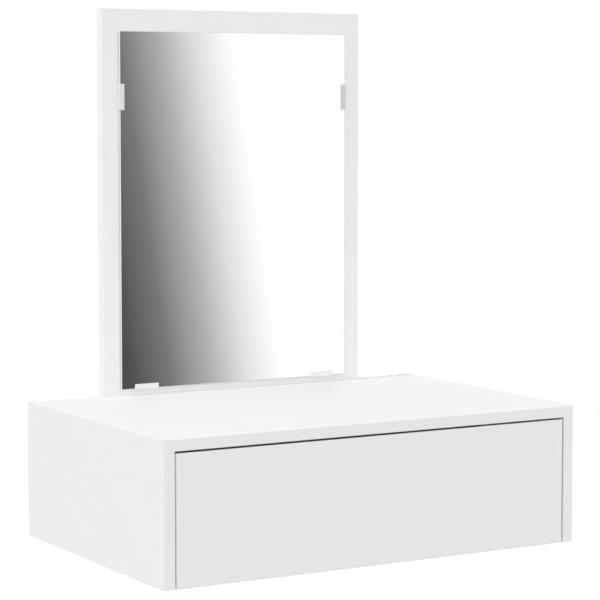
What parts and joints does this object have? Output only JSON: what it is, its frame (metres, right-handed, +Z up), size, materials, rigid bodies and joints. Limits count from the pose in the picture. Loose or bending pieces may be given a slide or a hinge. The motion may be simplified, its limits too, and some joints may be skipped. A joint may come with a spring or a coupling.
{
  "type": "dressing table",
  "caption": "Wall-hung dressing table: shallow white panel carcass with a drawer on roller runners, and an upright board on its top that carries a clipped mirror.",
  "frame": {"origin": "on the wall plane, at the centre of the four wall-screw bushes, which is the middle of the carcass's width and height", "axes": "+X to the right seen from the front, +Y back into the wall, so the front faces -Y, +Z up"},
  "size_m": [0.6, 0.4, 0.7],
  "materials": {
    "white_melamine": "white melamine-faced board, matt, with matching edge bands",
    "white_hardboard": "thin white-faced fibreboard",
    "mirror_silver": "silvered float glass with polished edges",
    "clip_plastic": "moulded white plastic",
    "zinc_steel": "bright zinc-plated steel",
    "cam_alloy": "die-cast zinc alloy",
    "white_enamel": "white epoxy-coated sheet steel",
    "roller_nylon": "natural nylon",
    "beech": "turned beech",
    "bush_nylon": "natural nylon"
  },
  "bodies": {
    "carcass": {"back_panel": "white_melamine", "cabinet_runner_axles": "zinc_steel", "cabinet_runner_screws": "zinc_steel", "carcass_cam_bolts": "zinc_steel", "carcass_cams": "cam_alloy", "carcass_dowels": "beech", "joining_plate_screws": "zinc_steel", "left_cabinet_runner": "white_enamel", "left_joining_plate": "zinc_steel", "left_mirror_clip": "clip_plastic", "left_side_panel": "white_melamine", "lower_left_mirror_clip": "clip_plastic", "lower_right_mirror_clip": "clip_plastic", "mirror_board": "white_melamine", "mirror_board_dowels": "beech", "mirror_clip_screws": "zinc_steel", "mirror_glass": "mirror_silver", "right_cabinet_runner": "white_enamel", "right_joining_plate": "zinc_steel", "right_mirror_clip": "clip_plastic", "right_side_panel": "white_melamine", "top_panel": "white_melamine", "wall_bushes": "bush_nylon"},
    "drawer": {"drawer_front": "white_melamine", "drawer_left_side": "white_melamine", "drawer_right_side": "white_melamine", "drawer_back": "white_melamine", "drawer_bottom": "white_hardboard", "drawer_cams": "cam_alloy", "drawer_cam_bolts": "zinc_steel", "drawer_dowels": "beech", "drawer_back_screws": "zinc_steel", "drawer_bottom_screws": "zinc_steel", "left_drawer_runner": "white_enamel", "right_drawer_runner": "white_enamel", "drawer_runner_screws": "zinc_steel", "drawer_runner_axles": "zinc_steel"},
    "left_front_roller": {"left_front_roller": "roller_nylon"},
    "right_front_roller": {"right_front_roller": "roller_nylon"},
    "left_rear_roller": {"left_rear_roller": "roller_nylon"},
    "right_rear_roller": {"right_rear_roller": "roller_nylon"}
  },
  "joints": [
    {"name": "drawer_slide", "type": "slide", "parent": "carcass", "child": "drawer", "axis": [0, -1, 0], "range_m": [0, 0.26]},
    {"name": "left_front_roller_spin", "type": "hinge", "parent": "carcass", "child": "left_front_roller", "pos_m": [-0.2795, -0.373, -0.04875], "axis": [1, 0, 0], "range_deg": [0, 1987]},
    {"name": "left_rear_roller_spin", "type": "hinge", "parent": "drawer", "child": "left_rear_roller", "pos_m": [-0.2785, -0.0428, -0.0487], "axis": [1, 0, 0], "range_deg": [0, 1753]},
    {"name": "right_front_roller_spin", "type": "hinge", "parent": "carcass", "child": "right_front_roller", "pos_m": [0.2795, -0.373, -0.04875], "axis": [1, 0, 0], "range_deg": [0, 1987]},
    {"name": "right_rear_roller_spin", "type": "hinge", "parent": "drawer", "child": "right_rear_roller", "pos_m": [0.2785, -0.0428, -0.0487], "axis": [1, 0, 0], "range_deg": [0, 1753]}
  ],
  "couplings": [
    {"joint": "left_front_roller_spin", "follows": "drawer_slide", "rad_per_m": 133.33},
    {"joint": "left_rear_roller_spin", "follows": "drawer_slide", "rad_per_m": 117.65},
    {"joint": "right_front_roller_spin", "follows": "drawer_slide", "rad_per_m": 133.33},
    {"joint": "right_rear_roller_spin", "follows": "drawer_slide", "rad_per_m": 117.65}
  ]
}
